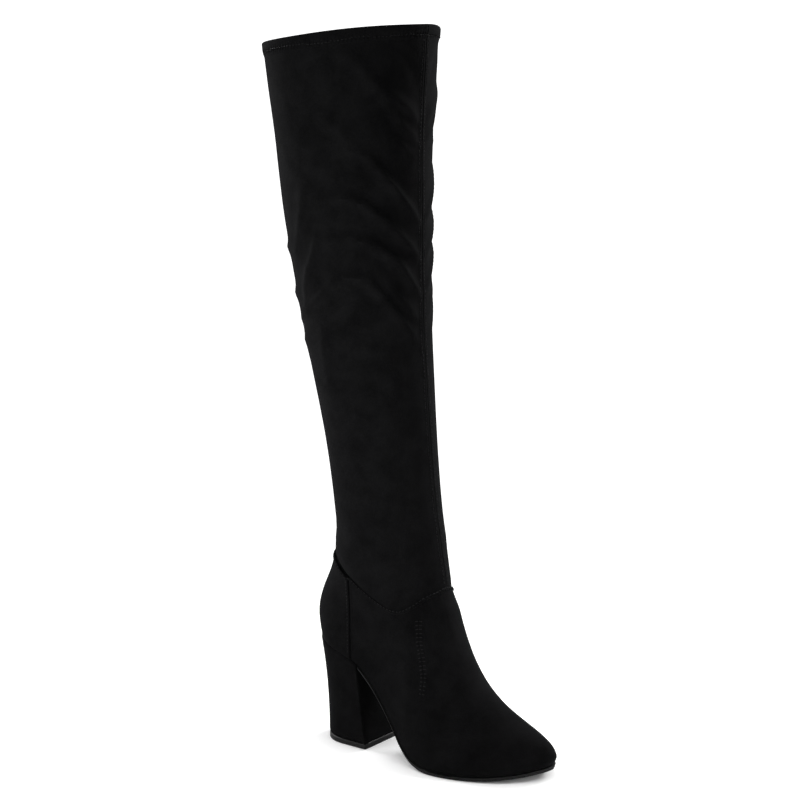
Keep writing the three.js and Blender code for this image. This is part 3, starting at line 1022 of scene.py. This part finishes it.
def makeStudio():
    bpy.ops.mesh.primitive_circle_add(
        vertices=studio["floorSides"], radius=studio["floorSize"], fill_type="NGON"
    )
    floor = bpy.context.object
    floor.name = "floor"
    paper = bpy.data.materials.new("palePaper")
    paper.use_nodes = True
    shader = paper.node_tree.nodes["Principled BSDF"]
    shader.inputs["Base Color"].default_value = studio["floorColour"]
    shader.inputs["Roughness"].default_value = 0.9
    shader.inputs["Specular IOR Level"].default_value = 0.1
    link = paper.node_tree.links.new
    # The floor's glow is painted light, seen only by the camera; ambient occlusion dims it near the boot
    # into a painted contact shadow
    paintedShadowMask = addNode(paper.node_tree, "ShaderNodeAmbientOcclusion", (-700, -200))
    paintedShadowMask.inputs["Distance"].default_value = studio["shadowReach"]
    ray = addNode(paper.node_tree, "ShaderNodeLightPath", (-700, -500))
    openToCamera = addNode(paper.node_tree, "ShaderNodeMath", (-450, -300), operation="MULTIPLY")
    glow = addNode(paper.node_tree, "ShaderNodeMath", (-250, -300), operation="MULTIPLY")
    glow.inputs[1].default_value = studio["paintedFloorGlow"]
    link(paintedShadowMask.outputs["AO"], openToCamera.inputs[0])
    link(ray.outputs["Is Camera Ray"], openToCamera.inputs[1])
    link(openToCamera.outputs["Value"], glow.inputs[0])
    shader.inputs["Emission Color"].default_value = studio["skyColour"]
    link(glow.outputs["Value"], shader.inputs["Emission Strength"])
    floor.data.materials.append(paper)
    world = bpy.data.worlds.new("studio")
    bpy.context.scene.world = world
    world.use_nodes = True
    sky = world.node_tree.nodes["Background"]
    sky.inputs["Color"].default_value = studio["skyColour"]
    path = addNode(world.node_tree, "ShaderNodeLightPath", (-600, 0))
    strength = addNode(world.node_tree, "ShaderNodeMix", (-300, 0), data_type="FLOAT")
    strength.inputs["A"].default_value = studio["skyStrength"]
    strength.inputs["B"].default_value = studio["backdropStrength"]
    world.node_tree.links.new(path.outputs["Is Camera Ray"], strength.inputs["Factor"])
    world.node_tree.links.new(strength.outputs["Result"], sky.inputs["Strength"])
    bpy.context.scene.view_settings.view_transform = "Standard"


# Side is in degrees from the camera, to the right of it, and up is degrees above the floor.
# Away is metres from the point on the boot's middle that it faces, faces metres up
softBoxes = [
    {"name": "kickBox", "side": -44, "up": -24, "away": 1.0, "size": (0.5, 0.12),
     "power": 1.9, "faces": 0.42, "spread": 76},
    {"name": "keyBox", "side": -74, "up": 14, "away": 1.9, "size": (0.7, 0.7),
     "power": 6.5, "faces": 0.3, "spread": 180},
    {"name": "leftRimBox", "side": -128, "up": 25, "away": 1.9, "size": (0.6, 0.6),
     "power": 21, "faces": 0.3, "spread": 180},
    {"name": "rightRimBox", "side": 128, "up": 22, "away": 1.9, "size": (0.6, 0.6),
     "power": 27, "faces": 0.3, "spread": 180},
    {"name": "fillBox", "side": 40, "up": 12, "away": 2.3, "size": (0.8, 0.8),
     "power": 12, "faces": 0.3, "spread": 180},
    {"name": "toeBox", "side": 80, "up": 32, "away": 1.2, "size": (0.3, 0.3),
     "power": 0.45, "faces": 0.05, "spread": 46},
]

aimForward = 0.03

# Angles in degrees, strength in watts per square metre
ceiling = {"tilt": 10, "towards": 230, "spread": 70, "strength": 1.1}


def makeLights():
    for box in softBoxes:
        aim = Vector((aimForward, 0, box["faces"]))
        side, up = radians(cameraView["azimuth"] + box["side"]), radians(box["up"])
        place = aim + Vector((sin(side) * cos(up), -cos(side) * cos(up), sin(up))) * box["away"]
        bpy.ops.object.light_add(type="AREA", location=place)
        light = bpy.context.object
        light.name = box["name"]
        light.data.shape = "RECTANGLE"
        light.data.size, light.data.size_y = box["size"]
        light.data.spread = radians(box["spread"])
        light.data.energy = box["power"]
        light.rotation_euler = (aim - place).to_track_quat("-Z", "Y").to_euler()
    bpy.ops.object.light_add(type="SUN", location=(0, 0, 3))
    light = bpy.context.object
    light.name = "ceiling"
    light.data.energy = ceiling["strength"]
    light.data.angle = radians(ceiling["spread"])
    light.rotation_euler = (radians(ceiling["tilt"]), 0, radians(ceiling["towards"]))


makeStudio()
makeLights()
print("studio made")
